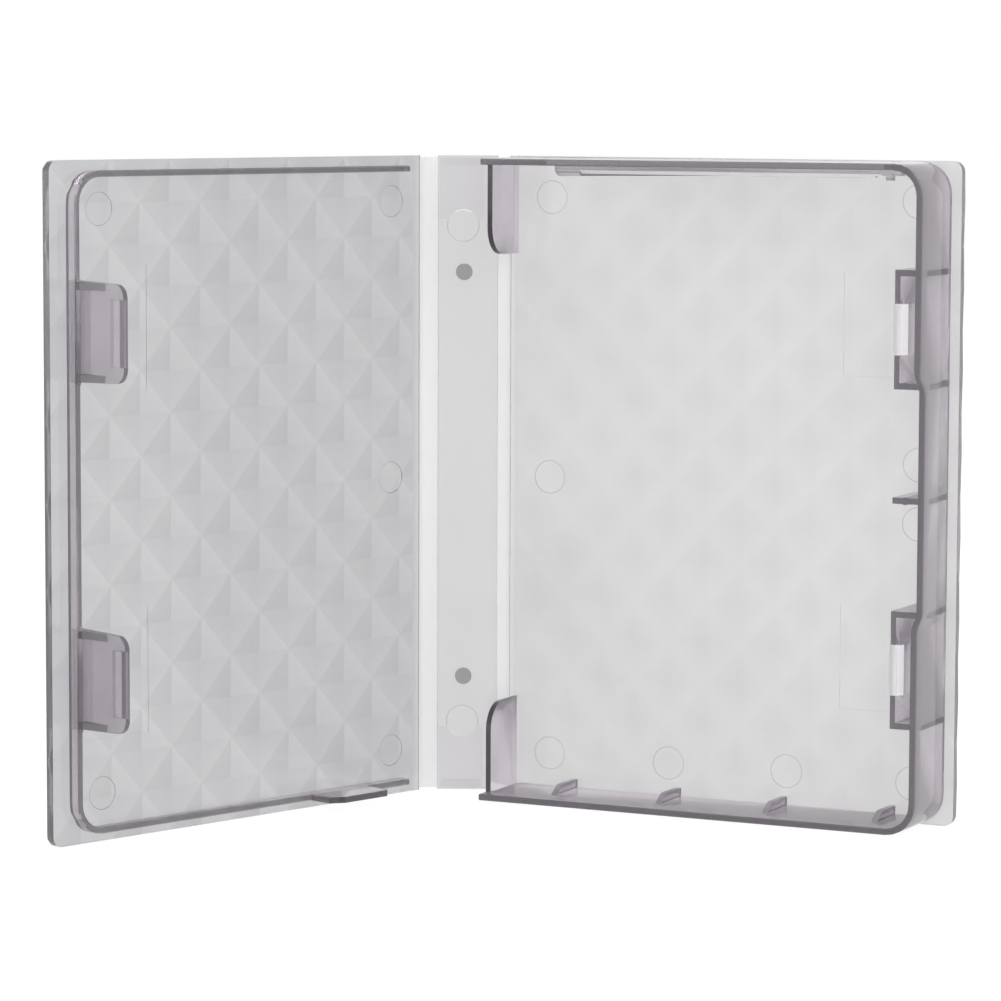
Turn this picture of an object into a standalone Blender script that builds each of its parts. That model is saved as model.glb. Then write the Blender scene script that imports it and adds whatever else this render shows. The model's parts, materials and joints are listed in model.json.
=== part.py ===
# Hard drive case: a one-shot moulding in translucent polypropylene that opens like a book.
# A tray leaf and a lid leaf hang on a flat spine by two thin webs, the living hinges.
# The case stands on its lower edges, part open, as it would on a table,
# with the floor of the tray facing along -Y.
# Each leaf is drawn flat in its own frame and then turned about its hinge axis:
# "along" runs from the hinge axis to the free edge, "rise" stands up from the inner face
# towards the drive, and "up" is the height above the middle of the case.
# Lengths are metres, angles are degrees.

import math

import bmesh
import bpy
from mathutils import Matrix, Vector

# The case as a whole
CASE_HEIGHT = 0.107
LEAF_THICKNESS = 0.00135
LEAF_CORNER_RADIUS = 0.0017
TRAY_OPENING = 25.6
LID_OPENING = 45.2
CLOSED_CLEARANCE = 0.0003
MOULD_GAP = 0.0003
SEAT = 0.0004
OVERRUN = 0.002
ARC_STEPS = 6

# The pyramids on the outside of both leaves
PYRAMID_PITCH_ALONG = 0.00625
PYRAMID_PITCH_UP = 0.0066875
PYRAMID_HEIGHT = 0.00035

# The tray wall, which runs round three sides
WALL_DEPTH = 0.0134
WALL_THICKNESS = 0.00105
WALL_FOOT_THICKNESS = 0.0012
WALL_FREE_MARGIN = 0.00165
WALL_SIDE_MARGIN = 0.00015
WALL_CORNER_RADIUS = 0.005
WALL_DRAFT = 0.0001
WALL_BULGE = 0.0009
WALL_BULGE_HALF = 0.0175
WALL_BULGE_RUN = 0.003
JOG_SHARES = (0.0, 0.25, 0.5, 0.75, 1.0)
WALL_START = 0.00155
RIM_ROUND = 0.0002

# The drive's seat in the tray, which sets how far both leaves reach
DRIVE_WIDTH = 0.06985
DRIVE_CLEARANCE = 0.0008
CATCH_DEPTH = 0.00545
GUARD_THICKNESS = 0.0009
GUARD_LENGTH = 0.0160
GUARD_HEIGHT = 0.0107
GUARD_ROUND = 0.0044
REST_RIB_FIRST = 0.0130
REST_RIB_LAST_MARGIN = 0.0033
REST_RIB_COUNT = 4
REST_RIB_THICKNESS = 0.0010
REST_RIB_RISE = 0.0060
REST_RIB_REACH = 0.0090
REST_RIB_HEIGHT = 0.0014
STOP_RIB_THICKNESS = 0.0010
STOP_BOSS_RADIUS = 0.00065
RAIL_START = 0.0137
RAIL_FREE_MARGIN = 0.0059
RAIL_RISE = 0.0085
RAIL_DEPTH = 0.0022
RAIL_LEDGE = 0.0006
RAIL_BEAD = 0.0004
RAIL_BEAD_INSET = 0.0050
RAIL_END_ROUND = 0.0016

# The two catch boxes, which take the latch tongues
LATCH_OFFSET = 0.0271
CATCH_WALL = 0.0009
CATCH_END = 0.0010
CATCH_SIDE_CLEARANCE = 0.0005
BUMP_LENGTH = 0.0081
BUMP_REACH = 0.00095
BUMP_FOOT = 0.0048
BUMP_SLOPE = 0.0004
BUMP_LEAD = 0.0012
BUMP_CREST = 0.0003

# The lid rim, which nests inside the tray wall
RIM_HEIGHT = 0.00225
RIM_THICKNESS = 0.0010
RIM_NEST_CLEARANCE = 0.0003
RIM_FREE_MARGIN = 0.0033
RIM_CORNER_RADIUS = 0.0050
RIM_START = 0.00565
TAB_START = 0.0153
TAB_LENGTH = 0.0125
TAB_HEIGHT = 0.0078
TAB_CHAMFER_ALONG = 0.0023
TAB_CHAMFER_RISE = 0.0014
TAB_CORNER = 0.0007

# The latch tongues, which stand just inside the lid rim
TONGUE_LENGTH = 0.0159
TONGUE_HEIGHT = 0.01255
TONGUE_THICKNESS = 0.00085
TONGUE_TAPER = 0.0003
TONGUE_TIP_RADIUS = 0.0022
GUSSET_THICKNESS = 0.0011
GUSSET_HEIGHT = 0.0083
HOOK_LENGTH = 0.0104
HOOK_REACH = 0.0007
HOOK_FOOT = 0.0088
HOOK_SLOPE = 0.0004
HOOK_FLAT = 0.0014
HOOK_TIP_INSET = 0.0002

# The spine and the two living hinges
WEB_THICKNESS = 0.0005
LID_WEB_OUTSIDE = 0.00125
LID_WEB_INSIDE = 0.00215
TRAY_WEB_OUTSIDE = 0.00065
TRAY_WEB_INSIDE = 0.00150
HINGE_SHOULDER = 0.0010
SPINE_PEG_RADIUS = 0.0014
SPINE_PEG_HEIGHT = 0.0006
SPINE_PEG_OFFSET = 0.0341
SPINE_PEG_SIDE = 0.0003
SPINE_LIP_HEIGHT = 0.0013
SPINE_LIP_RISE = 0.0006
SPINE_LIP_INSET = 0.0004
SPINE_LIP_STOP = 0.0024
SPINE_PAD_LENGTH = 0.0103
SPINE_PAD_RISE = 0.00025

# Sizes that follow from the ones above
HALF_HEIGHT = CASE_HEIGHT / 2
AXIS_OFFSET = (WALL_DEPTH + CLOSED_CLEARANCE) / 2
WALL_HALF = HALF_HEIGHT - WALL_SIDE_MARGIN
GUARD_FACE = WALL_START + GUARD_THICKNESS
STOP_FACE = GUARD_FACE + DRIVE_WIDTH + DRIVE_CLEARANCE
WALL_REACH = STOP_FACE + CATCH_DEPTH
LEAF_REACH = WALL_REACH + WALL_FREE_MARGIN
REST_RIB_PITCH = (STOP_FACE - REST_RIB_LAST_MARGIN - REST_RIB_FIRST) / (REST_RIB_COUNT - 1)
WALL_INNER_HALF = WALL_HALF - WALL_FOOT_THICKNESS
WALL_RIM_INNER_HALF = WALL_HALF - WALL_DRAFT - WALL_THICKNESS
RIM_HALF = WALL_RIM_INNER_HALF - RIM_NEST_CLEARANCE
RIM_REACH = LEAF_REACH - RIM_FREE_MARGIN
TONGUE_FACE = RIM_REACH - RIM_THICKNESS
CATCH_HALF = TONGUE_LENGTH / 2 + CATCH_SIDE_CLEARANCE + CATCH_END
LEAF_BACK = LEAF_THICKNESS + PYRAMID_HEIGHT

# Finish of the moulding: colour, roughness and metallic value
SMOKE = (0.62, 0.60, 0.63)
SMOKE_EDGE = (0.50, 0.47, 0.50)
WEB_MILK = (0.86, 0.86, 0.87)
SHELL_ROUGHNESS = 0.32
WEB_ROUGHNESS = 0.45


def clear_scene():
    for obj in list(bpy.data.objects):
        bpy.data.objects.remove(obj, do_unlink=True)


def finish(name, colour, roughness):
    """A Principled material for one moulded member."""
    material = bpy.data.materials.new(name)
    material.use_nodes = True
    shader = material.node_tree.nodes["Principled BSDF"]
    shader.inputs["Base Color"].default_value = (*colour, 1.0)
    shader.inputs["Roughness"].default_value = roughness
    shader.inputs["Metallic"].default_value = 0.0
    return material


def mesh_object(name, bm):
    """Turns a bmesh into an object whose faces point outwards."""
    bmesh.ops.recalc_face_normals(bm, faces=bm.faces)
    mesh = bpy.data.meshes.new(name)
    bm.to_mesh(mesh)
    bm.free()
    obj = bpy.data.objects.new(name, mesh)
    bpy.context.scene.collection.objects.link(obj)
    return obj


def helper(obj):
    """Marks a shape that only adds to, or cuts, another one."""
    obj.hide_render = True
    obj.display_type = "WIRE"
    return obj


def loft(name, rings, closed):
    """Joins rings of points into one closed shape, with caps where the run is open."""
    bm = bmesh.new()
    rows = [[bm.verts.new(point) for point in ring] for ring in rings]
    pairs = list(zip(rows, rows[1:]))
    if closed:
        pairs.append((rows[-1], rows[0]))
    for one, two in pairs:
        for i in range(len(one)):
            j = (i + 1) % len(one)
            bm.faces.new((one[i], one[j], two[j], two[i]))
    if not closed:
        bm.faces.new(rows[0])
        bm.faces.new(list(reversed(rows[-1])))
    return mesh_object(name, bm)


def place(along, rise, up):
    """A point of a leaf drawn flat: the inner face looks along -Y."""
    return Vector((along, -rise, HALF_HEIGHT + up))


def prism_up(name, outline, low, high):
    """Extrudes an outline of (along, rise) points between two heights."""
    rings = [[place(a, r, up) for a, r in outline] for up in (low, high)]
    return loft(name, rings, closed=False)


def prism_along(name, outline, start, end):
    """Extrudes an outline of (rise, up) points between two places along the leaf."""
    rings = [[place(a, r, up) for r, up in outline] for a in (start, end)]
    return loft(name, rings, closed=False)


def arc(centre_a, centre_b, radius, first, last, steps=ARC_STEPS):
    """Points of an arc in a plane, from one angle to another."""
    points = []
    for i in range(steps + 1):
        turn = math.radians(first + (last - first) * i / steps)
        points.append((centre_a + radius * math.cos(turn), centre_b + radius * math.sin(turn)))
    return points


def combine(target, others, operation):
    """Adds or cuts helpers with Boolean modifiers, in the order given."""
    for other in others:
        modifier = target.modifiers.new(other.name, "BOOLEAN")
        modifier.operation = operation
        modifier.solver = "EXACT"
        modifier.object = helper(other)
    return target


def leaf_outline(start, grow=0.0):
    """The outline of a leaf: square at the hinge, rounded at its free corners."""
    reach = LEAF_REACH + grow
    half = HALF_HEIGHT + grow
    radius = LEAF_CORNER_RADIUS + grow
    lower = arc(reach - radius, radius - half, radius, -90, 0)
    upper = arc(reach - radius, half - radius, radius, 0, 90)
    return [(start, -half)] + lower + upper + [(start, half)]


def pyramid_slab(name):
    """A slab whose back is a lattice of pyramids, larger than the leaf it is trimmed to."""
    columns = math.ceil(LEAF_REACH / PYRAMID_PITCH_ALONG) + 1
    rows = math.ceil(HALF_HEIGHT / PYRAMID_PITCH_UP) + 1
    bm = bmesh.new()
    front = {}
    back = {}
    for i in range(columns + 1):
        for j in range(-rows, rows + 1):
            along = LEAF_REACH + PYRAMID_PITCH_ALONG - i * PYRAMID_PITCH_ALONG
            up = j * PYRAMID_PITCH_UP
            apex = PYRAMID_HEIGHT if (i + j) % 2 == 0 else 0.0
            front[i, j] = bm.verts.new(place(along, 0.0, up))
            back[i, j] = bm.verts.new(place(along, -LEAF_THICKNESS - apex, up))
    for i in range(columns):
        for j in range(-rows, rows):
            corners = ((i, j), (i + 1, j), (i + 1, j + 1), (i, j + 1))
            bm.faces.new([front[c] for c in corners])
            low = 1 if (i + j) % 2 == 0 else 0
            a, b, c, d = (back[corners[(low + k) % 4]] for k in range(4))
            bm.faces.new((a, b, c))
            bm.faces.new((a, c, d))
    edge = [(i, -rows) for i in range(columns + 1)]
    edge += [(columns, j) for j in range(-rows + 1, rows + 1)]
    edge += [(i, rows) for i in range(columns - 1, -1, -1)]
    edge += [(0, j) for j in range(rows - 1, -rows, -1)]
    for one, two in zip(edge, edge[1:] + edge[:1]):
        bm.faces.new((front[one], front[two], back[two], back[one]))
    return mesh_object(name, bm)


def leaf_panel(name, hinge_start):
    """A flat leaf with pyramids outside and a sloping shoulder down to its hinge web."""
    panel = pyramid_slab(name)
    front = [place(a, OVERRUN, up) for a, up in leaf_outline(hinge_start)]
    knee = [place(a, -WEB_THICKNESS, up) for a, up in leaf_outline(hinge_start)]
    back = [place(a, -LEAF_BACK - OVERRUN, up)
            for a, up in leaf_outline(hinge_start + HINGE_SHOULDER + OVERRUN)]
    trim = loft(name + "_trim", [front, knee, back], closed=False)
    return combine(panel, [trim], "INTERSECT")


def bulge(up):
    """How far the tray wall's rim stands outwards between the two catch boxes."""
    share = (WALL_BULGE_HALF + WALL_BULGE_RUN - abs(up)) / WALL_BULGE_RUN
    share = min(max(share, 0.0), 1.0)
    return WALL_BULGE * share * share * (3 - 2 * share)


def side_stations():
    """Heights at which the free side of the tray wall is drawn, close together at the jogs."""
    steps = [WALL_BULGE_HALF + WALL_BULGE_RUN * share for share in JOG_SHARES]
    return [-up for up in reversed(steps)] + steps


def skirt(start, reach, half, radius, stations, swell):
    """Points (along, up, outward along, outward up) round three sides of a leaf."""
    points = [(start, -half, 0.0, -1.0)]
    for i in range(ARC_STEPS + 1):
        turn = math.radians(-90 + 90 * i / ARC_STEPS)
        out = (math.cos(turn), math.sin(turn))
        points.append((reach - radius + radius * out[0], radius - half + radius * out[1], *out))
    points += [(reach + swell(up), up, 1.0, 0.0) for up in stations]
    for i in range(ARC_STEPS + 1):
        turn = math.radians(90 * i / ARC_STEPS)
        out = (math.cos(turn), math.sin(turn))
        points.append((reach - radius + radius * out[0], half - radius + radius * out[1], *out))
    points.append((start, half, 0.0, 1.0))
    return points


def skirt_wall(name, foot, rim, foot_thickness, thickness, height):
    """A wall lofted between the outline of its foot and that of its rounded rim."""
    rings = []
    for low, high in zip(foot, rim):
        section = ((low, 0.0, -SEAT), (high, 0.0, height - RIM_ROUND), (high, RIM_ROUND, height),
                   (high, thickness - RIM_ROUND, height), (high, thickness, height - RIM_ROUND),
                   (low, foot_thickness, -SEAT))
        ring = []
        for (along, up, out_along, out_up), inset, rise in section:
            ring.append(place(along - inset * out_along, rise, up - inset * out_up))
        rings.append(ring)
    return loft(name, rings, closed=False)


def tray_wall():
    stations = side_stations()
    foot = skirt(WALL_START, WALL_REACH, WALL_HALF, WALL_CORNER_RADIUS, stations, lambda up: 0.0)
    rim = skirt(WALL_START, WALL_REACH - WALL_DRAFT, WALL_HALF - WALL_DRAFT,
                WALL_CORNER_RADIUS, stations, bulge)
    return skirt_wall("tray_wall", foot, rim, WALL_FOOT_THICKNESS, WALL_THICKNESS, WALL_DEPTH)


def corner_guard(side):
    """An upright fin at the hinge end, which stops the drive, with a rounded free corner."""
    wall = WALL_INNER_HALF + WALL_FOOT_THICKNESS / 2
    end = WALL_HALF - GUARD_LENGTH
    round_end = arc(GUARD_HEIGHT - GUARD_ROUND, end + GUARD_ROUND, GUARD_ROUND, 0, -90)
    outline = [(-SEAT, end), (-SEAT, wall), (GUARD_HEIGHT, wall)] + round_end
    outline = [(rise, side * up) for rise, up in outline]
    return prism_along("guard", outline, WALL_START, GUARD_FACE)


def rest_rib(index):
    """A low chamfered rib on the lower wall, on which the drive's edge rests."""
    middle = REST_RIB_FIRST + index * REST_RIB_PITCH
    foot = -WALL_INNER_HALF - WALL_FOOT_THICKNESS / 2
    top = REST_RIB_HEIGHT - WALL_INNER_HALF
    outline = [(-SEAT, foot), (-SEAT, top), (REST_RIB_RISE, top), (REST_RIB_REACH, foot)]
    half = REST_RIB_THICKNESS / 2
    return prism_along("rest_rib", outline, middle - half, middle + half)


def stop_rib():
    """The middle rib on the free side, with a small ejector boss on it."""
    half = STOP_RIB_THICKNESS / 2
    end = WALL_REACH - WALL_FOOT_THICKNESS / 2
    outline = [(-SEAT, -half), (-SEAT, half), (GUARD_HEIGHT, half), (GUARD_HEIGHT, -half)]
    return prism_along("stop_rib", outline, STOP_FACE, end)


def stop_boss():
    middle = (STOP_FACE + WALL_REACH - WALL_THICKNESS) / 2
    ring = arc(middle, 0.0, STOP_BOSS_RADIUS, 0, 330, steps=11)
    rings = [[place(a, rise, up) for a, up in ring] for rise in (-SEAT, GUARD_HEIGHT + RIM_ROUND)]
    return loft("stop_boss", rings, closed=False)


def tray_shell():
    """The tray's panel, wall, corner guards, rest ribs and stop rib, moulded in one."""
    shell = leaf_panel("tray_shell", TRAY_WEB_OUTSIDE)
    members = [tray_wall(), corner_guard(1), corner_guard(-1), stop_rib(), stop_boss()]
    members += [rest_rib(index) for index in range(REST_RIB_COUNT)]
    return combine(shell, members, "UNION")


def retaining_rail():
    """A rail inside the upper wall, whose sloping bead holds the drive's edge down."""
    back = min(WALL_INNER_HALF, WALL_RIM_INNER_HALF) - MOULD_GAP
    ledge = back - RAIL_LEDGE
    end = LEAF_REACH - RAIL_FREE_MARGIN
    front = RAIL_RISE + RAIL_DEPTH
    round_end = arc(RAIL_START + RAIL_END_ROUND, back, RAIL_END_ROUND, 180, 240)
    floor = max(ledge, round_end[-1][1])
    plan = [(a, up) for a, up in round_end] + [(end - RAIL_LEDGE, floor), (end, back)]
    rings = [[place(a, rise, up) for a, up in plan] for rise in (RAIL_RISE, front)]
    rail = loft("retaining_rail", rings, closed=False)
    middle = RAIL_RISE + RAIL_DEPTH / 2
    bead = [(RAIL_RISE + RIM_ROUND, ledge + RIM_ROUND), (middle - RIM_ROUND, ledge - RAIL_BEAD),
            (middle + RIM_ROUND, ledge - RAIL_BEAD), (front - RIM_ROUND, ledge + RIM_ROUND)]
    strip = prism_along("rail_bead", bead, RAIL_START + RAIL_BEAD_INSET, end - RAIL_BEAD_INSET)
    return combine(rail, [strip], "UNION")


def catch_box(name, side):
    """A box open at its rim, made of an inner wall, two ends and the bump that holds a tongue."""
    middle = side * LATCH_OFFSET
    outer_end = WALL_REACH - WALL_FOOT_THICKNESS - MOULD_GAP
    face = STOP_FACE + CATCH_WALL
    plan = [(STOP_FACE, -CATCH_HALF), (outer_end, -CATCH_HALF), (outer_end, CATCH_END - CATCH_HALF),
            (face, CATCH_END - CATCH_HALF), (face, CATCH_HALF - CATCH_END),
            (outer_end, CATCH_HALF - CATCH_END), (outer_end, CATCH_HALF), (STOP_FACE, CATCH_HALF)]
    rings = [[place(a, rise, middle + up) for a, up in plan] for rise in (MOULD_GAP, GUARD_HEIGHT)]
    box = loft(name, rings, closed=False)
    sunk = face - CATCH_WALL / 2
    bump = [(sunk, BUMP_FOOT), (face, BUMP_FOOT), (face + BUMP_REACH, BUMP_FOOT + BUMP_SLOPE),
            (face + BUMP_REACH, GUARD_HEIGHT - BUMP_LEAD), (face + BUMP_CREST, GUARD_HEIGHT),
            (sunk, GUARD_HEIGHT)]
    half = BUMP_LENGTH / 2
    catch = prism_up(name + "_bump", bump, middle - half, middle + half)
    return combine(box, [catch], "UNION")


def guide_tab():
    """A tab on the lid's lower rim, which enters the tray between two rest ribs."""
    end = TAB_START + TAB_LENGTH
    outline = [(TAB_START, -SEAT), (end, -SEAT), (end, TAB_HEIGHT - TAB_CHAMFER_RISE),
               (end - TAB_CHAMFER_ALONG, TAB_HEIGHT), (TAB_START + TAB_CORNER, TAB_HEIGHT),
               (TAB_START, TAB_HEIGHT - TAB_CORNER)]
    return prism_up("guide_tab", outline, -RIM_HALF, RIM_THICKNESS - RIM_HALF)


def lid_rim():
    outline = skirt(RIM_START, RIM_REACH, RIM_HALF, RIM_CORNER_RADIUS, [], lambda up: 0.0)
    return skirt_wall("lid_rim", outline, outline, RIM_THICKNESS, RIM_THICKNESS, RIM_HEIGHT)


def tongue_notch(side):
    """The shallow relief on the inside of the rim, behind which a latch tongue stands."""
    middle = side * LATCH_OFFSET
    half = TONGUE_LENGTH / 2 + MOULD_GAP
    relief = TONGUE_FACE + MOULD_GAP
    top = RIM_HEIGHT + OVERRUN
    outline = [(TONGUE_FACE - OVERRUN, 0.0), (relief, 0.0), (relief, top), (TONGUE_FACE - OVERRUN, top)]
    return prism_up("tongue_notch", outline, middle - half, middle + half)


def lid_shell():
    """The lid's panel, its low nesting rim and the guide tab, moulded in one."""
    shell = leaf_panel("lid_shell", LID_WEB_OUTSIDE)
    combine(shell, [lid_rim(), guide_tab()], "UNION")
    return combine(shell, [tongue_notch(1), tongue_notch(-1)], "DIFFERENCE")


def gusset(name, edge, end):
    """A tapering rib on the outer face of a tongue, which stands over the lid rim."""
    foot = RIM_HEIGHT + MOULD_GAP
    profile = [(TONGUE_FACE - SEAT, foot), (RIM_REACH, foot), (TONGUE_FACE, GUSSET_HEIGHT),
               (TONGUE_FACE - SEAT, GUSSET_HEIGHT)]
    return prism_up(name, profile, *sorted((edge, edge - end * GUSSET_THICKNESS)))


def latch_tongue(name, side):
    """A thin upright plate with a round-cornered tip, two gussets and a hook near the tip."""
    middle = side * LATCH_OFFSET
    half = TONGUE_LENGTH / 2
    tip = half - TONGUE_TAPER
    shoulder = TONGUE_HEIGHT - TONGUE_TIP_RADIUS
    lower = arc(TONGUE_TIP_RADIUS - tip, shoulder, TONGUE_TIP_RADIUS, 180, 90)
    upper = arc(tip - TONGUE_TIP_RADIUS, shoulder, TONGUE_TIP_RADIUS, 90, 0)
    outline = [(-half, MOULD_GAP)] + lower + upper + [(half, MOULD_GAP)]
    inner = TONGUE_FACE - TONGUE_THICKNESS
    rings = [[place(along, rise, middle + up) for up, rise in outline]
             for along in (TONGUE_FACE, inner)]
    tongue = loft(name, rings, closed=False)
    gussets = [gusset(name + "_gusset", middle + end * tip, end) for end in (-1, 1)]
    top = TONGUE_HEIGHT - HOOK_TIP_INSET
    undercut = HOOK_FOOT + HOOK_SLOPE
    hook = [(inner + SEAT, HOOK_FOOT), (inner, HOOK_FOOT), (inner - HOOK_REACH, undercut),
            (inner - HOOK_REACH, undercut + HOOK_FLAT), (inner, top), (inner + SEAT, top)]
    reach = HOOK_LENGTH / 2
    bead = prism_up(name + "_hook", hook, middle - reach, middle + reach)
    return combine(tongue, gussets + [bead], "UNION")


def box(name, low, high):
    """A plain block between two corners given as (x, rise, up)."""
    plan = [(low[0], low[2]), (high[0], low[2]), (high[0], high[2]), (low[0], high[2])]
    rings = [[place(x, rise, up) for x, up in plan] for rise in (low[1], high[1])]
    return loft(name, rings, closed=False)


def spine_peg(side):
    ring = arc(-SPINE_PEG_SIDE, side * SPINE_PEG_OFFSET, SPINE_PEG_RADIUS, 0, 345, steps=23)
    rings = [[place(x, rise, up) for x, up in ring] for rise in (-SEAT, SPINE_PEG_HEIGHT)]
    return loft("spine_peg", rings, closed=False)


def spine_panel():
    """The flat back of the book, with a lip and a pad at each end and two round gate pegs."""
    left = LID_WEB_INSIDE - AXIS_OFFSET
    right = AXIS_OFFSET - TRAY_WEB_INSIDE
    shoulder = HINGE_SHOULDER
    profile = [(left, 0.0), (left, -WEB_THICKNESS), (left + shoulder, -LEAF_BACK),
               (right - shoulder, -LEAF_BACK), (right, -WEB_THICKNESS), (right, 0.0)]
    spine = prism_up("spine_panel", profile, -HALF_HEIGHT, HALF_HEIGHT)
    inset = left + SPINE_LIP_INSET
    stop = right - SPINE_LIP_STOP
    members = [spine_peg(1), spine_peg(-1)]
    for side in (-1, 1):
        end = HALF_HEIGHT - SPINE_LIP_INSET
        pad = sorted((side * (end - SPINE_PAD_LENGTH), side * end))
        lip = sorted((side * (end - SPINE_LIP_HEIGHT), side * end))
        members.append(box("spine_pad", (inset, -SEAT, pad[0]), (stop, SPINE_PAD_RISE, pad[1])))
        members.append(box("spine_lip", (inset + SPINE_LIP_INSET, -SEAT, lip[0]),
                           (stop - SPINE_LIP_INSET, SPINE_LIP_RISE, lip[1])))
    return combine(spine, members, "UNION")


def hinge_web(name, side, inside, outside, opening):
    """A thin web that bends round its hinge axis, from the spine's edge to a leaf's."""
    turn = math.radians(opening)
    axis = Vector((AXIS_OFFSET, 0.0))
    start = axis - Vector((inside - MOULD_GAP, 0.0))
    end = axis + (outside - MOULD_GAP) * Vector((math.cos(turn), math.sin(turn)))
    inner = []
    outer = []
    for i in range(ARC_STEPS + 1):
        share = i / ARC_STEPS
        before = start.lerp(axis, share)
        after = axis.lerp(end, share)
        point = before.lerp(after, share)
        run = (after - before).normalized()
        inner.append((side * point.x, point.y))
        outer.append((side * (point.x + WEB_THICKNESS * run.y), point.y - WEB_THICKNESS * run.x))
    profile = inner + outer[::-1]
    return prism_up(name, profile, MOULD_GAP - HALF_HEIGHT, HALF_HEIGHT - MOULD_GAP)


def leaf_frame(name, offset, turn):
    """An empty on a hinge axis, turned to the angle at which its leaf stands."""
    frame = bpy.data.objects.new(name, None)
    frame.location = (offset, 0.0, 0.0)
    frame.rotation_euler = (0.0, 0.0, math.radians(turn))
    bpy.context.scene.collection.objects.link(frame)
    return frame


def mirror_leaf(obj):
    """Turns a leaf drawn to the right of its hinge into one on the left."""
    obj.data.transform(Matrix.Scale(-1.0, 4, (1.0, 0.0, 0.0)))
    obj.data.flip_normals()
    for modifier in obj.modifiers:
        cutter = modifier.object
        cutter.data.transform(Matrix.Scale(-1.0, 4, (1.0, 0.0, 0.0)))
        cutter.data.flip_normals()


def attach(objects, frame, material):
    for obj in objects:
        obj.data.materials.append(material)
        obj.parent = frame
        for modifier in obj.modifiers:
            modifier.object.parent = frame


def corners_of(nodes):
    """The lowest and highest corner of the finished case."""
    bpy.context.view_layer.update()
    graph = bpy.context.evaluated_depsgraph_get()
    points = []
    for obj in nodes:
        evaluated = obj.evaluated_get(graph)
        mesh = evaluated.to_mesh()
        points += [evaluated.matrix_world @ vertex.co for vertex in mesh.vertices]
        evaluated.to_mesh_clear()
    low = Vector([min(point[axis] for point in points) for axis in range(3)])
    high = Vector([max(point[axis] for point in points) for axis in range(3)])
    return low, high


def build():
    clear_scene()
    shell = finish("smoke_polypropylene", SMOKE, SHELL_ROUGHNESS)
    edge = finish("smoke_polypropylene_thick", SMOKE_EDGE, SHELL_ROUGHNESS)
    milk = finish("web_polypropylene", WEB_MILK, WEB_ROUGHNESS)

    case = leaf_frame("case_frame", 0.0, TRAY_OPENING)
    tray_frame = leaf_frame("tray_frame", AXIS_OFFSET, -TRAY_OPENING)
    lid_frame = leaf_frame("lid_frame", -AXIS_OFFSET, LID_OPENING)
    tray_frame.parent = case
    lid_frame.parent = case

    tray = tray_shell()
    catches = [catch_box("upper_catch_box", 1), catch_box("lower_catch_box", -1)]
    rail = retaining_rail()
    lid = lid_shell()
    tongues = [latch_tongue("upper_latch_tongue", 1), latch_tongue("lower_latch_tongue", -1)]
    for obj in [lid] + tongues:
        mirror_leaf(obj)
    spine = spine_panel()
    lid_web = hinge_web("lid_hinge_web", -1, LID_WEB_INSIDE, LID_WEB_OUTSIDE, LID_OPENING)
    tray_web = hinge_web("tray_hinge_web", 1, TRAY_WEB_INSIDE, TRAY_WEB_OUTSIDE, TRAY_OPENING)

    attach([tray], tray_frame, shell)
    attach(catches + [rail], tray_frame, edge)
    attach([lid], lid_frame, shell)
    attach(tongues, lid_frame, edge)
    attach([spine], case, shell)
    attach([lid_web, tray_web], case, milk)

    low, high = corners_of([tray, rail, lid, spine, lid_web, tray_web] + catches + tongues)
    case.location = (-(low.x + high.x) / 2, -(low.y + high.y) / 2, -low.z)


build()
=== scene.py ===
import json
import math

import bpy
from mathutils import Matrix, Vector


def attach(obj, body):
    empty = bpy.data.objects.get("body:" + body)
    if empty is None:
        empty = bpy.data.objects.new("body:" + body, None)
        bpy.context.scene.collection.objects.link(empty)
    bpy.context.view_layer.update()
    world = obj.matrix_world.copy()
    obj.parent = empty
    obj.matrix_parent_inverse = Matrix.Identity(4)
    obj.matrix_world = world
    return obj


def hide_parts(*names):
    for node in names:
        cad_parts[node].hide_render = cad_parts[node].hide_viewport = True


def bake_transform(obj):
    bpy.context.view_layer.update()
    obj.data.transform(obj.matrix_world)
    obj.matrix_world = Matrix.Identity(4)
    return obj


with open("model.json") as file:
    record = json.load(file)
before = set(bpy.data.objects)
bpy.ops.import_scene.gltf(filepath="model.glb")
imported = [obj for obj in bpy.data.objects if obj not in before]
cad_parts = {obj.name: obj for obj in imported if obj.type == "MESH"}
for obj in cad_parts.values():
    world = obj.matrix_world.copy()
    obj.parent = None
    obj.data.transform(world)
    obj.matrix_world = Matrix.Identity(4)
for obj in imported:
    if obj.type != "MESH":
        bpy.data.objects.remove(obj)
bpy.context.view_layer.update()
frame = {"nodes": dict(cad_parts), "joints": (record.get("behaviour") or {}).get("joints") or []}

# ## Tray
# The tray is the deep leaf: a panel with pyramids outside and a wall round three sides, moulded with
# its two catch boxes and the rail that holds the drive. Smoke-grey translucent polypropylene, 0.85 to
# 1.35 mm thick, polished inside. It is drawn flat, with its hinge axis at the origin.

MM = 0.001
HALF_HEIGHT = frame["nodes"]["tray_shell"].dimensions.z / 2
LEAF_THICKNESS = 1.35 * MM
# Members of the one moulding are grown by SEAT, which closes the gap to what carries them.
SEAT = 0.32 * MM
tray_joint = frame["joints"][0]


def select_only(piece):
    """Selects one piece and nothing else."""
    bpy.ops.object.select_all(action="DESELECT")
    piece.select_set(True)
    bpy.context.view_layer.objects.active = piece


def merged_copy(node, name):
    """A copy of a solid with its loose triangles joined and its flat stretches made whole."""
    piece = bpy.data.objects.new(name, frame["nodes"][node].data.copy())
    bpy.context.scene.collection.objects.link(piece)
    piece.data.materials.clear()
    select_only(piece)
    bpy.ops.object.mode_set(mode="EDIT")
    bpy.ops.mesh.select_all(action="SELECT")
    bpy.ops.mesh.remove_doubles(threshold=0.002 * MM)
    bpy.ops.mesh.dissolve_limited(angle_limit=math.radians(0.6))
    bpy.ops.object.mode_set(mode="OBJECT")
    return piece


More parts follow.
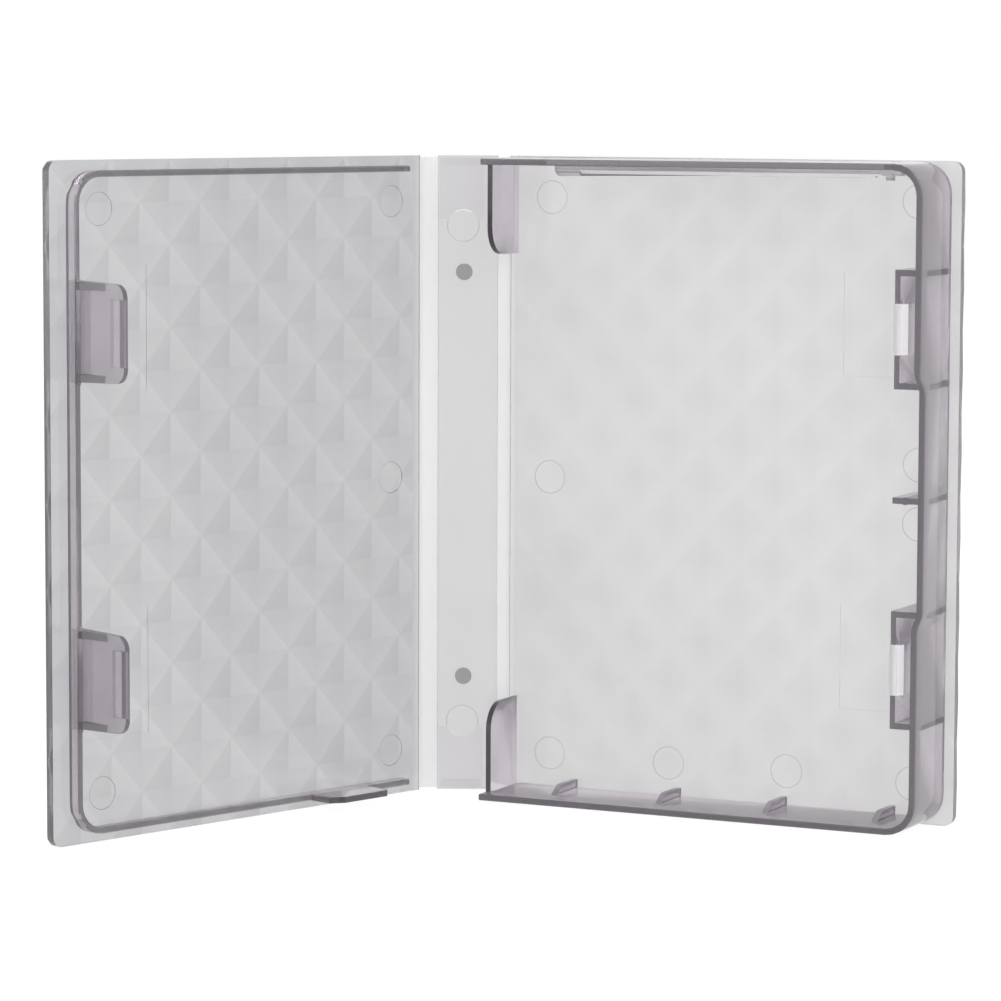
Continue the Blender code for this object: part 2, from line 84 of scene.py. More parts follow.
def lay_flat(piece, place):
    """Moves a piece into the frame of its leaf, to be worked on there."""
    piece.matrix_world = place.inverted() @ piece.matrix_world
    select_only(piece)
    bpy.ops.object.transform_apply(location=True, rotation=True, scale=True)


def stand_up(piece, place):
    """Puts a piece back where it belongs on the case, with its place in its mesh."""
    piece.matrix_world = place
    select_only(piece)
    bpy.ops.object.transform_apply(location=True, rotation=True, scale=True)


def choose(piece, kind, wanted):
    """Opens a piece in edit mode with only the wanted vertices, edges or faces selected."""
    select_only(piece)
    bpy.ops.object.mode_set(mode="EDIT")
    bpy.ops.mesh.select_mode(type=kind)
    bpy.ops.mesh.select_all(action="DESELECT")
    bpy.ops.object.mode_set(mode="OBJECT")
    mesh = piece.data
    for element in {"VERT": mesh.vertices, "EDGE": mesh.edges, "FACE": mesh.polygons}[kind]:
        element.select = wanted(element)
    bpy.ops.object.mode_set(mode="EDIT")


def push(piece, inside, offset):
    """Moves the points of a piece that lie in a region."""
    choose(piece, "VERT", lambda vertex: inside(vertex.co))
    bpy.ops.transform.translate(value=offset)
    bpy.ops.object.mode_set(mode="OBJECT")


def combine(piece, tool, operation):
    """Joins or cuts a piece with a tool, which is used up."""
    select_only(piece)
    modifier = piece.modifiers.new("fuse", "BOOLEAN")
    modifier.operation = operation
    modifier.solver = "EXACT"
    modifier.object = tool
    bpy.ops.object.modifier_apply(modifier=modifier.name)
    bpy.data.objects.remove(tool, do_unlink=True)


MARK_DEPTH = 0.08 * MM
MARK_SLOPE = 0.15 * MM


def pin_mark(piece, along, up, radius, depth):
    """The shallow round mark that an ejector pin leaves on an inside face, with a sloping side."""
    bpy.ops.object.select_all(action="DESELECT")
    bpy.ops.mesh.primitive_cone_add(vertices=72, radius1=radius - MARK_SLOPE, radius2=radius + MARK_SLOPE,
                                    depth=2 * depth, location=(along, 0, HALF_HEIGHT + up),
                                    rotation=(math.radians(90), 0, 0))
    combine(piece, bpy.context.object, "DIFFERENCE")


def insert_mark(piece, along, up):
    """The shallow step round a mould insert. along and up are (low, high) pairs."""
    combine(piece, block(along, (-0.8 * MARK_DEPTH, 0.8 * MARK_DEPTH), up), "DIFFERENCE")


def block(along, out, up):
    """A plain block in the frame of a leaf. Each argument is a (low, high) pair, up from the middle."""
    bpy.ops.object.select_all(action="DESELECT")
    middle = (sum(along) / 2, sum(out) / 2, HALF_HEIGHT + sum(up) / 2)
    bpy.ops.mesh.primitive_cube_add(size=1, location=middle)
    piece = bpy.context.object
    piece.scale = (along[1] - along[0], out[1] - out[0], up[1] - up[0])
    bpy.ops.object.transform_apply(scale=True)
    return piece


def score(piece, inside, points, direction):
    """Scores lines across the faces of a piece that lie in a region, one through each point."""
    for point in points:
        choose(piece, "FACE", lambda face: inside(face.center, face.normal))
        bpy.ops.mesh.bisect(plane_co=point, plane_no=direction)
        bpy.ops.object.mode_set(mode="OBJECT")


# Angles in degrees: edges from EASE_FROM up get a radius, and faces under SMOOTH_UNDER are shaded as
# one. So are the facets of a wall's corner, which turn by less than CURVE_UNDER. STANDING is how far the
# normal of a standing wall may leave the plane of the leaf.
EASE_FROM = 35
SMOOTH_UNDER = 4
CURVE_UNDER = 24
STANDING = 0.3


def ease_edges(piece, width):
    """The small radius that a mould leaves on every outer edge and corner."""
    select_only(piece)
    bevel = piece.modifiers.new("ease", "BEVEL")
    bevel.width = width
    bevel.segments = 2
    bevel.limit_method = "ANGLE"
    bevel.angle_limit = math.radians(EASE_FROM)
    bevel.miter_outer = "MITER_ARC"
    bpy.ops.object.modifier_apply(modifier=bevel.name)
    bpy.ops.object.shade_smooth_by_angle(angle=math.radians(SMOOTH_UNDER))


def round_corners(piece, place):
    """Shades the curved runs of the standing walls as one surface."""
    turn = place.inverted().to_3x3()
    sides = {}
    for face in piece.data.polygons:
        for key in face.edge_keys:
            sides.setdefault(key, []).append(turn @ face.normal)

    def in_curve(edge):
        normals = sides.get(edge.key, [])
        if len(normals) != 2 or max(abs(normal.y) for normal in normals) >= STANDING:
            return False
        return normals[0].angle(normals[1]) < math.radians(CURVE_UNDER)

    choose(piece, "EDGE", in_curve)
    bpy.ops.mesh.mark_sharp(clear=True)
    bpy.ops.object.mode_set(mode="OBJECT")


def in_leaf(piece, place):
    """Each face of a piece with its middle and its normal, seen in the frame of its leaf."""
    back = place.inverted()
    turn = back.to_3x3()
    for face in piece.data.polygons:
        yield face, back @ face.center, turn @ face.normal


# A pyramid's facets that look up take more of the light of their slope than those that look down.
FACET_LEAN = 0.8


def paint(piece, place, colour_of, gain=0):
    """Tints each face as its place asks, and each pyramid facet by the light that its slope takes."""
    tint = piece.data.attributes.new("tint", "FLOAT_VECTOR", "FACE")
    for face, middle, normal in in_leaf(piece, place):
        colour = Vector(colour_of(middle, normal))
        on_pyramid = middle.y > LEAF_THICKNESS - 0.05 * MM and normal.y > 0.97
        if gain and on_pyramid:
            colour *= 1 + gain * normal.x * (1 + math.copysign(FACET_LEAN, normal.z))
            face.use_smooth = False
        tint.data[face.index].vector = colour


def maths(tree, operation, *values):
    """A Math node. Each value is a socket that feeds it, or a number."""
    node = tree.nodes.new("ShaderNodeMath")
    node.operation = operation
    for socket, value in zip(node.inputs, values):
        if isinstance(value, (int, float)):
            socket.default_value = value
        else:
            tree.links.new(value, socket)
    return node.outputs[0]


def scaled(tree, colour, factor):
    """A colour times a factor. Both are sockets."""
    node = tree.nodes.new("ShaderNodeVectorMath")
    node.operation = "SCALE"
    tree.links.new(colour, node.inputs[0])
    tree.links.new(factor, node.inputs["Scale"])
    return node.outputs["Vector"]


def noise(tree, vector, scale, detail, distortion=0):
    """A noise texture on the given coordinates."""
    node = tree.nodes.new("ShaderNodeTexNoise")
    node.inputs["Scale"].default_value = scale
    node.inputs["Detail"].default_value = detail
    node.inputs["Distortion"].default_value = distortion
    tree.links.new(vector, node.inputs["Vector"])
    return node.outputs["Fac"]


def ramp(tree, value, low, high, start=0):
    """Spreads the values from low to high over start to 1."""
    node = tree.nodes.new("ShaderNodeMapRange")
    node.inputs["From Min"].default_value = low
    node.inputs["From Max"].default_value = high
    node.inputs["To Min"].default_value = start
    tree.links.new(value, node.inputs["Value"])
    return node.outputs["Result"]


FLOW_SCALE = 38
SCUFF_SCALE = 240
GRAIN_SCALE = 2600


def make_moulded_surface():
    """Surface of the moulding: faint flow marks in the colour, fine satin grain and light scuffs."""
    group = bpy.data.node_groups.new("moulded_surface", "ShaderNodeTree")
    for name, way, kind in (("Colour", "INPUT", "Color"), ("Roughness", "INPUT", "Float"),
                            ("Flow", "INPUT", "Float"), ("Scuff", "INPUT", "Float"),
                            ("Colour", "OUTPUT", "Color"), ("Roughness", "OUTPUT", "Float"),
                            ("Height", "OUTPUT", "Float")):
        group.interface.new_socket(name, in_out=way, socket_type="NodeSocket" + kind)
    given = group.nodes.new("NodeGroupInput").outputs
    out = group.nodes.new("NodeGroupOutput").inputs
    place = group.nodes.new("ShaderNodeTexCoord").outputs["Object"]
    flow = ramp(group, noise(group, place, FLOW_SCALE, 3), 0.3, 0.7)
    fall = maths(group, "SUBTRACT", 1.0, maths(group, "MULTIPLY", flow, given["Flow"]))
    scuffs = ramp(group, noise(group, place, SCUFF_SCALE, 6, 1.4), 0.56, 0.74)
    rougher = maths(group, "MULTIPLY_ADD", scuffs, given["Scuff"], given["Roughness"])
    group.links.new(scaled(group, given["Colour"], fall), out["Colour"])
    group.links.new(rougher, out["Roughness"])
    group.links.new(noise(group, place, GRAIN_SCALE, 2), out["Height"])
    return group


moulded_surface = make_moulded_surface()
PLASTIC_IOR = 1.49
FLOW_SHADE = 0.04
SCUFF_ROUGHNESS = 0.12
GRAIN_STRENGTH = 0.05
GRAIN_HEIGHT = 0.02 * MM
STREAK_SCALE = (25, 25, 2400)
LIGHT_LET_BY = 0.8
SMOKE_TINT = (0.40, 0.36, 0.42, 1)
SMOKE_DENSITY = 270


def smoke_plastic(name, colour, roughness, haze, density, streak=0):
    """Translucent polypropylene: clear and tinted through its thickness, with a little milky haze.

    Without a colour, each face takes its own tint. streak darkens fine lines drawn along the piece.
    """
    material = bpy.data.materials.new(name)
    material.use_nodes = True
    tree = material.node_tree
    nodes, links = tree.nodes, tree.links
    shader = nodes["Principled BSDF"].inputs
    shader["IOR"].default_value = PLASTIC_IOR
    shader["Transmission Weight"].default_value = 1 - haze
    surface = nodes.new("ShaderNodeGroup")
    surface.node_tree = moulded_surface
    surface.inputs["Roughness"].default_value = roughness
    surface.inputs["Flow"].default_value = FLOW_SHADE
    surface.inputs["Scuff"].default_value = SCUFF_ROUGHNESS
    if colour is None:
        tint = nodes.new("ShaderNodeAttribute")
        tint.attribute_name = "tint"
        links.new(tint.outputs["Color"], surface.inputs["Colour"])
    else:
        surface.inputs["Colour"].default_value = (*colour, 1)
    tone = surface.outputs["Colour"]
    if streak:
        stretch = nodes.new("ShaderNodeMapping")
        stretch.inputs["Scale"].default_value = STREAK_SCALE
        links.new(nodes.new("ShaderNodeTexCoord").outputs["Object"], stretch.inputs["Vector"])
        lines = noise(tree, stretch.outputs["Vector"], 1, 1)
        tone = scaled(tree, tone, ramp(tree, lines, 0.35, 0.65, 1 - streak))
    links.new(tone, shader["Base Color"])
    links.new(surface.outputs["Roughness"], shader["Roughness"])
    bump = nodes.new("ShaderNodeBump")
    bump.inputs["Strength"].default_value = GRAIN_STRENGTH
    bump.inputs["Distance"].default_value = GRAIN_HEIGHT
    links.new(surface.outputs["Height"], bump.inputs["Height"])
    links.new(bump.outputs["Normal"], shader["Normal"])
    shadow_ray = nodes.new("ShaderNodeLightPath").outputs["Is Shadow Ray"]
    links.new(maths(tree, "MULTIPLY_ADD", shadow_ray, -LIGHT_LET_BY, 1.0), shader["Alpha"])
    depth = nodes.new("ShaderNodeVolumeAbsorption")
    depth.inputs["Color"].default_value = SMOKE_TINT
    depth.inputs["Density"].default_value = density
    links.new(depth.outputs["Volume"], nodes["Material Output"].inputs["Volume"])
    return material


# A ray keeps the depth colour of the plastic that it enters by, so the moulding has one plastic with a
# tint for each kind of face. The three others have no depth colour of their own.
shell_plastic = smoke_plastic("smoke polypropylene", None, 0.12, 0.14, SMOKE_DENSITY)
bright_plastic = smoke_plastic("smoke polypropylene, thin", (0.76, 0.745, 0.76), 0.14, 0.45, 0)
drawn_plastic = smoke_plastic("smoke polypropylene, drawn", (0.66, 0.635, 0.66), 0.14, 0.4, 0,
                              streak=0.35)
# Painted highlight: a white, milky plastic on the side of each bump and on the rail's lead-in stands for
# light glinting on these slopes.
painted_highlight_plastic = smoke_plastic("smoke polypropylene, painted highlight", (1, 1, 1), 0.14, 0.85, 0)
BRIGHT, DRAWN, PAINTED_HIGHLIGHT = 1, 2, 3
# Tints: how much light each kind of face lets through.
PANEL = (0.92, 0.925, 0.912)
WALL = (0.87, 0.825, 0.87)
# Painted shade: the tops of the rims and of the box walls are darkened, for the dark that a ray finds
# down the long wall.
EDGE = (0.54, 0.525, 0.54)
# Painted light: along the rail the rim top is tinted lighter than the wall.
PAINTED_RIM_LIGHT = (1.0, 0.97, 1.0)
THIN_WALL = (1.0, 0.96, 1.0)
# Painted shade: the edges and ends of the guard are darkened.
PAINTED_GUARD_SHADE = (0.10, 0.095, 0.10)
# Painted shadow: a dark bar on the outside of the free wall wherever a rib stands behind it.
PAINTED_RIB_SHADOW = (0.40, 0.38, 0.40)
# Painted shade: the end faces of the panel's free edge are darkened.
PAINTED_BORDER_SHADE = (0.45, 0.45, 0.45)
# Painted shade: the sloping side of each pin mark is darkened so that its ring shows.
PAINTED_MARK_SHADE = (0.60, 0.60, 0.60)
PYRAMID_SHADE = 0.2

TRAY_DEPTH = 13.4 * MM
RIM_TOP = TRAY_DEPTH - 0.3 * MM
UPPER_RIM_RUN = (13.5 * MM, 72 * MM)
BOX_DEPTH = 10.7 * MM
WALL_INSIDE = 77.35 * MM
LATCH_OFFSET = 27.1 * MM
BUMP_HALF = 4.05 * MM
EDGE_RADIUS = 0.12 * MM
PIN_RADIUS = 2.8 * MM
PIN_MARKS = ((8.3, 46.7), (8.3, -46.7), (8.1, 0), (30.1, -46.8), (51.2, -46.6), (73.0, 47.0),
             (73.0, -47.0), (73.6, 4.8), (73.6, -4.8))
RIBS = (-36.05, -18.15, 0.02, 18.15, 36.05)
RIB_HALF = 0.45

tray_place = Matrix.Translation((tray_joint["pos_m"][0], tray_joint["pos_m"][1], 0))
tray = merged_copy("tray_shell", "tray_moulding")
lay_flat(tray, tray_place)
for node in ("upper_catch_box", "lower_catch_box"):
    box = merged_copy(node, node + "_fused")
    lay_flat(box, tray_place)
    push(box, lambda co: co.x > WALL_INSIDE - 1.2 * MM, (SEAT + 0.2 * MM, 0, 0))
    push(box, lambda co: co.y > -0.35 * MM, (0, SEAT, 0))
    combine(tray, box, "UNION")
    side = 1 if node.startswith("upper") else -1
    bump = (side * LATCH_OFFSET - BUMP_HALF, side * LATCH_OFFSET + BUMP_HALF)
    combine(tray, block((72.85 * MM, 74.15 * MM), (-10.75 * MM, -8.65 * MM), bump), "UNION")
rail = merged_copy("retaining_rail", "rail_fused")
lay_flat(rail, tray_place)
lead_in = block((18.2 * MM, 70.6 * MM), (-11 * MM, -9.6 * MM), (50 * MM, 51.65 * MM))
push(lead_in, lambda co: co.y > -10 * MM and co.z > HALF_HEIGHT + 51 * MM, (0, 0, -0.75 * MM))
combine(rail, lead_in, "DIFFERENCE")
combine(rail, block((71.4 * MM, 72.5 * MM), (-10.9 * MM, -9.6 * MM), (50.5 * MM, 51.7 * MM)), "UNION")
rail_top = max(vertex.co.z for vertex in rail.data.vertices)
push(rail, lambda co: co.z > rail_top - 0.05 * MM, (0, 0, SEAT))
combine(tray, rail, "UNION")
for along, up in PIN_MARKS:
    pin_mark(tray, along * MM, up * MM, PIN_RADIUS, 0.6 * MARK_DEPTH)
for side in (1, -1):
    insert_mark(tray, (60.4 * MM, 72.9 * MM), sorted((side * 18.7 * MM, side * 35.5 * MM)))
    insert_mark(tray, (62.4 * MM, 73.0 * MM), sorted((side * 22.9 * MM, side * 31.1 * MM)))
stand_up(tray, tray_place)
ease_edges(tray, EDGE_RADIUS)
lay_flat(tray, tray_place)
rib_sides = [HALF_HEIGHT + (up + half) * MM for up in RIBS for half in (-RIB_HALF, RIB_HALF)]


def on_free_wall(co, normal):
    """Tells the outer face of the wall on the free side."""
    return normal.x > 0.9 and co.x > 77 * MM and -13 * MM < co.y < -0.5 * MM


# The free wall is scored at the sides of each rib and at the depth of the boxes, to bound the painted rib
# shadows.
score(tray, on_free_wall, [(0, 0, height) for height in rib_sides], (0, 0, 1))
score(tray, on_free_wall, [(0, -BOX_DEPTH, 0)], (0, 1, 0))
# The rim top is scored at the ends of the rail's run, where its painted light starts and stops.
score(tray, lambda co, normal: normal.y < -0.9 and -co.y > RIM_TOP,
      [(along, 0, 0) for along in UPPER_RIM_RUN], (1, 0, 0))
stand_up(tray, tray_place)
for plastic in (shell_plastic, bright_plastic, drawn_plastic, painted_highlight_plastic):
    tray.data.materials.append(plastic)
round_corners(tray, tray_place)
for face, middle, normal in in_leaf(tray, tray_place):
    rise = -middle.y
    up = middle.z - HALF_HEIGHT
    in_bump = 72.7 * MM < middle.x < 75.3 * MM and abs(abs(up) - LATCH_OFFSET) < 1.01 * BUMP_HALF
    in_rail = up > 49 * MM and 8 * MM < rise < 11.2 * MM and 13 * MM < middle.x < 74.4 * MM
    # The side of each bump and the rail's lead-in take the painted highlight.
    if in_bump and rise > 8.6 * MM:
        face.material_index = PAINTED_HIGHLIGHT if normal.x > 0.5 else BRIGHT
    elif in_rail and normal.z < -0.3 and normal.y < -0.2:
        face.material_index = PAINTED_HIGHLIGHT
    elif in_rail and not (rise < 9.8 * MM and normal.y < -0.5):
        face.material_index = DRAWN


def tray_colour(middle, normal):
    """The tint of a face of the tray, from its place."""
    rise = -middle.y
    up = middle.z - HALF_HEIGHT
    in_box = 72.9 * MM < middle.x < 77.3 * MM and 17 * MM < abs(up) < 37 * MM
    in_guard = middle.x < 2.9 * MM and abs(up) < 51.5 * MM
    rib_distance = min(abs(up - rib * MM) for rib in RIBS)
    # Faces of the free wall's outside in front of a rib, which take a painted shadow.
    on_rib_shadow = normal.x > 0.9 and middle.x > 77 * MM and rib_distance < 0.4 * MM
    # Painted shade on the edges and ends of the guard.
    if in_guard and rise > 0.5 * MM and (normal.y < -0.3 or abs(normal.z) > 0.5):
        return PAINTED_GUARD_SHADE
    # Painted light on the rim top along the rail.
    if rise > RIM_TOP and up > 51 * MM and UPPER_RIM_RUN[0] < middle.x < UPPER_RIM_RUN[1]:
        return PAINTED_RIM_LIGHT
    # Painted shade on the tops of the rims and of the box walls.
    if rise > RIM_TOP or (rise > BOX_DEPTH - 0.25 * MM and normal.y < -0.5):
        return EDGE
    # Painted shadow of the ribs behind the free wall.
    if on_rib_shadow and 0.5 * MM < rise < BOX_DEPTH:
        return PAINTED_RIB_SHADOW
    if rise > 0.15 * MM:
        return THIN_WALL if in_box or in_guard else WALL
    # Painted shade on the end faces of the panel's free edge.
    if abs(normal.x) > 0.5 and middle.x > 79 * MM:
        return PAINTED_BORDER_SHADE
    # Painted shade on the sloping side of each pin mark.
    in_mark_ring = 0.01 * MM < -rise < 0.07 * MM and 0.5 < abs(normal.y) < 0.99
    return PAINTED_MARK_SHADE if in_mark_ring else PANEL


paint(tray, tray_place, tray_colour, PYRAMID_SHADE)
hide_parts("tray_shell", "upper_catch_box", "lower_catch_box", "retaining_rail")
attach(tray, "tray")

# ## Lid
# The lid is the flat leaf, with the same pyramids outside and a low rim inside that nests in the
# tray's wall. It is drawn flat to the left of its hinge axis.

LID_PIN_MARKS = ((70.3, 45.9), (70.3, -45.9), (7.9, 46.0), (7.9, -46.0), (7.9, 0))
LID_PIN_RADIUS = 2.68 * MM
RIM_INSIDE = 76.2 * MM
LID_EDGE_BACK = 1.55 * MM
LID_PANEL = (0.76, 0.77, 0.767)
LID_RIM = (0.91, 0.865, 0.91)
# Painted shade: the top of the lid's rim is darkened.
PAINTED_LID_EDGE_SHADE = (0.20, 0.19, 0.20)
# Painted shade: the sloping side of each pin mark on the lid is darkened so that its ring shows.
PAINTED_LID_MARK_SHADE = (0.40, 0.40, 0.40)
LID_PYRAMID_SHADE = 1.0
TRAY_OPENING = 25.6
LID_OPENING = 45.2

lid_joint = frame["joints"][1]
lid_turn = Matrix.Rotation(math.radians(TRAY_OPENING + LID_OPENING), 4, "Z")
lid_place = Matrix.Translation((lid_joint["pos_m"][0], lid_joint["pos_m"][1], 0)) @ lid_turn
lid = merged_copy("lid_shell", "lid_moulding")
lay_flat(lid, lid_place)
for along, up in LID_PIN_MARKS:
    pin_mark(lid, -along * MM, up * MM, LID_PIN_RADIUS, MARK_DEPTH)
for side in (1, -1):
    insert_mark(lid, (-75.0 * MM, -60.8 * MM), sorted((side * 17.1 * MM, side * 37.1 * MM)))
push(lid, lambda co: abs(co.x + RIM_INSIDE) < 0.06 * MM and co.y < 0.1 * MM, (0.29 * MM, 0, 0))
# The back of the free edge is brought to one height.
choose(lid, "VERT", lambda vertex: vertex.co.x < -80.1 * MM and vertex.co.y > 1.2 * MM)
bpy.ops.transform.resize(value=(1, 0, 1), center_override=(0, LID_EDGE_BACK, 0))
bpy.ops.object.mode_set(mode="OBJECT")
stand_up(lid, lid_place)
ease_edges(lid, EDGE_RADIUS)
round_corners(lid, lid_place)
lid.data.materials.append(shell_plastic)


def lid_colour(middle, normal):
    """The tint of a face of the lid, from its place."""
    # Painted shade on the top of the rim.
    if middle.y < -2.0 * MM and normal.y < -0.5:
        return PAINTED_LID_EDGE_SHADE
    if middle.y < -0.15 * MM:
        return LID_RIM
    # Painted shade on the end faces of the lid's free edge.
    if abs(normal.x) > 0.5 and middle.x < -79 * MM:
        return PAINTED_BORDER_SHADE
    # Painted shade on the sloping side of each pin mark.
    if 0.01 * MM < middle.y < 0.07 * MM and 0.5 < abs(normal.y) < 0.95:
        return PAINTED_LID_MARK_SHADE
    return LID_PANEL


paint(lid, lid_place, lid_colour, LID_PYRAMID_SHADE)
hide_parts("lid_shell")
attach(lid, "lid")

# ## Latch tongues
# Two thin tongues stand upright on the lid, just inside its rim. Each has two gussets over the rim and
# a hook for the bump of a catch box. They are part of the lid's moulding.

TONGUE = (0.62, 0.58, 0.62)
# Painted shade: the gussets and the edges of each tongue near its foot are darkened.
PAINTED_TONGUE_SHADE = (0.22, 0.21, 0.22)
HOOK = (1.0, 0.95, 1.0)
TONGUE_SEAT = 0.3 * MM

upper_tongue = merged_copy("upper_latch_tongue", "upper_tongue")
lay_flat(upper_tongue, lid_place)
push(upper_tongue, lambda co: co.y > -0.35 * MM, (0, TONGUE_SEAT, 0))
push(upper_tongue, lambda co: co.x < -76.3 * MM and co.y > -2.6 * MM, (0, TONGUE_SEAT, 0))
stand_up(upper_tongue, lid_place)
ease_edges(upper_tongue, EDGE_RADIUS)
lower_tongue = bpy.data.objects.new("lower_tongue", upper_tongue.data.copy())
bpy.context.scene.collection.objects.link(lower_tongue)
push(lower_tongue, lambda co: True, (0, 0, -2 * LATCH_OFFSET))


def tongue_colour(middle, normal):
    """The tint of a face of a tongue, from its place."""
    # Painted shade on the gussets and the edges near the foot.
    if middle.x < -76.0 * MM or (abs(normal.x) < 0.5 and middle.y > -8.4 * MM):
        return PAINTED_TONGUE_SHADE
    return HOOK if middle.x > -74.6 * MM else TONGUE


for tongue, node, body in ((upper_tongue, "upper_latch_tongue", "upper_latch"),
                           (lower_tongue, "lower_latch_tongue", "lower_latch")):
    tongue.data.materials.append(shell_plastic)
    paint(tongue, lid_place, tongue_colour)
    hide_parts(node)
    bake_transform(tongue)

# ## Spine and living hinges
# The spine is a flat strip with a low pad at each end and a peg left by each gate. A thin web runs along
# each side of it.

# Painted shade: the pegs are darkened.
PAINTED_PEG_SHADE = (0.30, 0.285, 0.30)
SPINE_PAD = (0.85, 0.845, 0.845)
PAD_MARK_UP = 41.8
PAD_MARK_RADIUS = 2.72 * MM
SPINE_EDGE_RADIUS = 0.1 * MM

spine = merged_copy("spine_panel", "spine_moulding")
spine_turn = Matrix.Rotation(math.radians(TRAY_OPENING), 4, "Z")
middle = (Vector(tray_joint["pos_m"]) + Vector(lid_joint["pos_m"])) / 2
spine_place = Matrix.Translation((middle.x, middle.y, 0)) @ spine_turn
lay_flat(spine, spine_place)
push(spine, lambda co: -0.3 * MM < co.y < -0.2 * MM, (0, 0.17 * MM, 0))
for up in (PAD_MARK_UP, -PAD_MARK_UP):
    pin_mark(spine, -0.5 * MM, up * MM, PAD_MARK_RADIUS, 0.3 * MM)
    push(spine, lambda co: 0.2 * MM < co.y < 0.4 * MM, (0, -0.25 * MM, 0))
for side in (1, -1):
    push(spine, lambda co: side * co.x > 3.5 * MM and co.y > 1.6 * MM, (side * 0.95 * MM, 0, 0))
stand_up(spine, spine_place)
ease_edges(spine, SPINE_EDGE_RADIUS)
spine.data.materials.append(shell_plastic)


def spine_colour(middle, normal):
    """The tint of a face of the spine, from its place."""
    off_middle = abs(middle.z - HALF_HEIGHT)
    # Painted shade on the pegs.
    if middle.y < -0.4 * MM and off_middle < 40 * MM:
        return PAINTED_PEG_SHADE
    if normal.y < -0.9 and off_middle > 42.9 * MM:
        return SPINE_PAD
    # Painted shade on the sloping side of each pin mark.
    in_mark_ring = 0.005 * MM < middle.y < 0.07 * MM and 0.2 < abs(normal.y) < 0.99
    return PAINTED_MARK_SHADE if in_mark_ring else PANEL


paint(spine, spine_place, spine_colour)
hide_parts("spine_panel")
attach(spine, "spine")

web_plastic = smoke_plastic("flexed polypropylene, web", (0.93, 0.93, 0.93), 0.14, 0.3, SMOKE_DENSITY)
tray_way = Vector((1, 0, 0))
lid_way = lid_turn @ Vector((-1, 0, 0))
across = spine_turn @ Vector((1, 0, 0))
# Each web: its node, its leaf's body, its joint, the ways to the leaf and to the spine, and how far
# from the axis its two ends start.
WEBS = (("tray_hinge_web", "tray", tray_joint, tray_way, -across, 0.25 * MM, 1.05 * MM),
        ("lid_hinge_web", "lid", lid_joint, lid_way, across, 0.85 * MM, 1.7 * MM))
for node, body, joint, leaf_way, spine_way, leaf_end, spine_end in WEBS:
    web = merged_copy(node, body + "_web")
    web.data.materials.append(web_plastic)
    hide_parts(node)
    axis = Vector(joint["pos_m"])
    push(web, lambda co: (co - axis).dot(spine_way) > spine_end, SEAT * spine_way)
    push(web, lambda co: (co - axis).dot(leaf_way) > leaf_end, SEAT * leaf_way)
    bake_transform(web)

# ## Studio
# A pale floor and backdrop, with soft lamps on both sides and above. The floor keeps the case's shadow
# and otherwise shows as white, also through the plastic.

PALE = (1, 1, 1, 1)
FLOOR_GLOW = 0.75
GLOW_STRENGTH = 1.15
WORLD_GREY = (0.62, 0.62, 0.63, 1)
LAMP_TARGET = Vector((0, 0, 0.05))

bpy.ops.object.select_all(action="DESELECT")
bpy.ops.mesh.primitive_plane_add(size=6, location=(0, 0, -0.05 * MM))
floor = bpy.context.object
floor.name = "floor"
pale = bpy.data.materials.new("pale floor")
pale.use_nodes = True
tree = pale.node_tree
nodes, links = tree.nodes, tree.links
nodes["Principled BSDF"].inputs["Base Color"].default_value = (0.93, 0.93, 0.93, 1)
nodes["Principled BSDF"].inputs["Roughness"].default_value = 0.7
glow = nodes.new("ShaderNodeEmission")
glow.inputs["Color"].default_value = PALE
lit = nodes.new("ShaderNodeMixShader")
rays = nodes.new("ShaderNodeLightPath").outputs
seen = maths(tree, "MAXIMUM", rays["Is Camera Ray"], rays["Is Glossy Ray"])
share = maths(tree, "MULTIPLY", seen, FLOOR_GLOW)
links.new(maths(tree, "MAXIMUM", share, rays["Is Transmission Ray"]), lit.inputs[0])
strength = maths(tree, "MULTIPLY_ADD", rays["Is Transmission Ray"], 1 - GLOW_STRENGTH, GLOW_STRENGTH)
links.new(strength, glow.inputs["Strength"])
links.new(nodes["Principled BSDF"].outputs[0], lit.inputs[1])
links.new(glow.outputs[0], lit.inputs[2])
links.new(lit.outputs[0], nodes["Material Output"].inputs["Surface"])
floor.data.materials.append(pale)

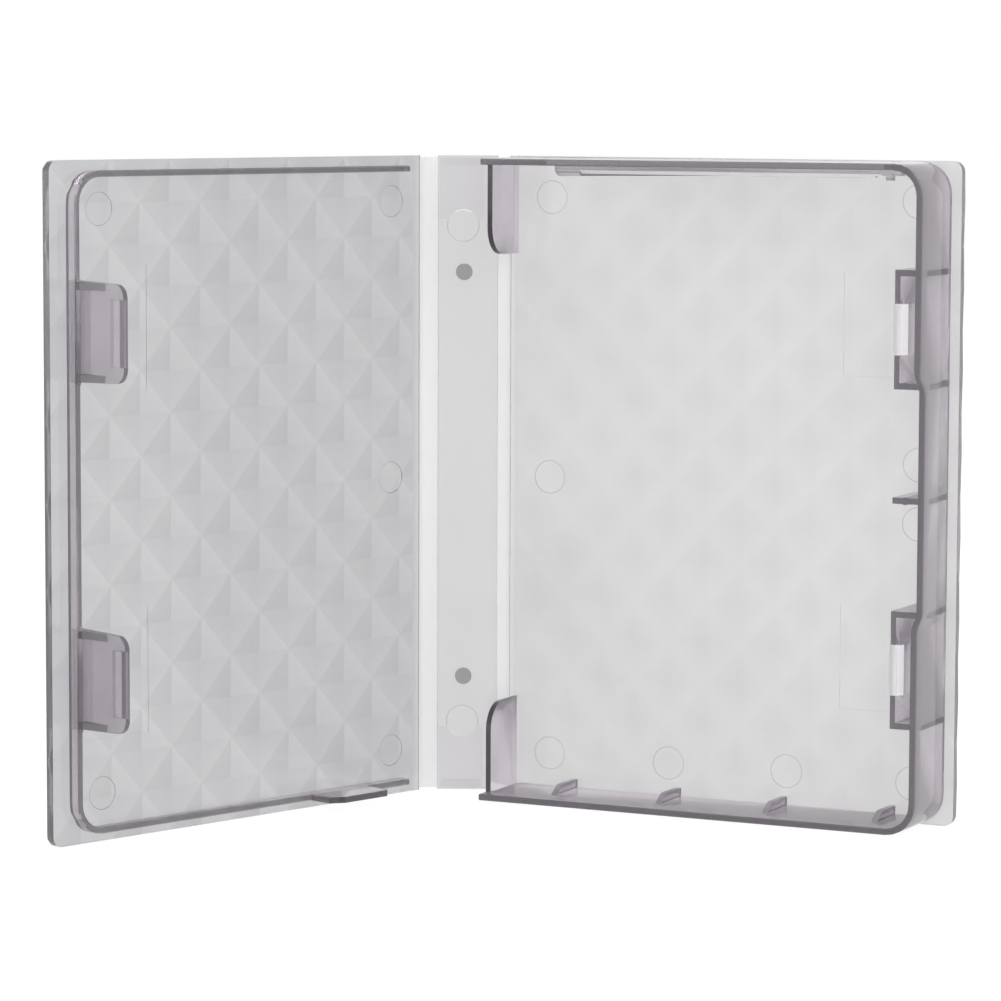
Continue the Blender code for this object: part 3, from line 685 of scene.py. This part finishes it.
world = bpy.context.scene.world or bpy.data.worlds.new("studio")
bpy.context.scene.world = world
world.use_nodes = True
tree = world.node_tree
nodes, links = tree.nodes, tree.links
nodes.clear()
rays = nodes.new("ShaderNodeLightPath").outputs
seen = maths(tree, "MAXIMUM", rays["Is Camera Ray"], rays["Is Glossy Ray"])
mix = nodes.new("ShaderNodeMixShader")
links.new(maths(tree, "MAXIMUM", seen, rays["Is Transmission Ray"]), mix.inputs[0])
for socket, colour in ((mix.inputs[1], WORLD_GREY), (mix.inputs[2], PALE)):
    background = nodes.new("ShaderNodeBackground")
    background.inputs["Color"].default_value = colour
    links.new(background.outputs[0], socket)
out = nodes.new("ShaderNodeOutputWorld")
links.new(mix.outputs[0], out.inputs["Surface"])

bpy.context.scene.view_settings.view_transform = "Standard"


def soft_lamp(name, location, size, power):
    """A square lamp that shines on the middle of the case."""
    lamp = bpy.data.lights.new(name, "AREA")
    lamp.shape = "SQUARE"
    lamp.size = size
    lamp.energy = power
    obj = bpy.data.objects.new(name, lamp)
    obj.location = location
    obj.rotation_euler = (LAMP_TARGET - Vector(location)).to_track_quat("-Z", "Y").to_euler()
    bpy.context.scene.collection.objects.link(obj)


soft_lamp("key", (0.7, -0.5, 0.6), 0.9, 6)
soft_lamp("fill", (-0.7, -0.6, 0.4), 0.9, 3)
soft_lamp("back", (-0.5, 0.8, 0.7), 0.8, 1)

# ## Camera
# Long lens, almost level, straight in front of the spine. Its place is in the spine's frame, and was
# fitted to a case 108 mm tall.

SCALE = 107 / 108 * MM
CAMERA_SPOT = (9.33, -709.37, 120.54)
PITCH = -5.71
ROLL = 0.2244
FOCAL_PIXELS = 4197.05
MIDDLE_COLUMN = 520.46
PICTURE = 1001
SENSOR = 36

camera_data = bpy.data.cameras.new("camera")
camera = bpy.data.objects.new("camera", camera_data)
bpy.context.scene.collection.objects.link(camera)
pitch = math.radians(PITCH)
roll = math.radians(ROLL)
forward = Vector((0, math.cos(pitch), math.sin(pitch)))
right = Vector((1, 0, 0))
up = right.cross(forward)
level_right = right * math.cos(roll) + up * math.sin(roll)
level_up = up * math.cos(roll) - right * math.sin(roll)
turn = Matrix((level_right, level_up, -forward)).transposed().to_4x4()
spot = Vector(CAMERA_SPOT) * SCALE
camera.matrix_world = spine_place @ Matrix.Translation(spot) @ turn
camera_data.sensor_width = SENSOR
camera_data.lens = FOCAL_PIXELS * SENSOR / PICTURE
camera_data.shift_x = -(MIDDLE_COLUMN - PICTURE / 2) / PICTURE
camera_data.clip_start = 0.01
bpy.context.scene.camera = camera
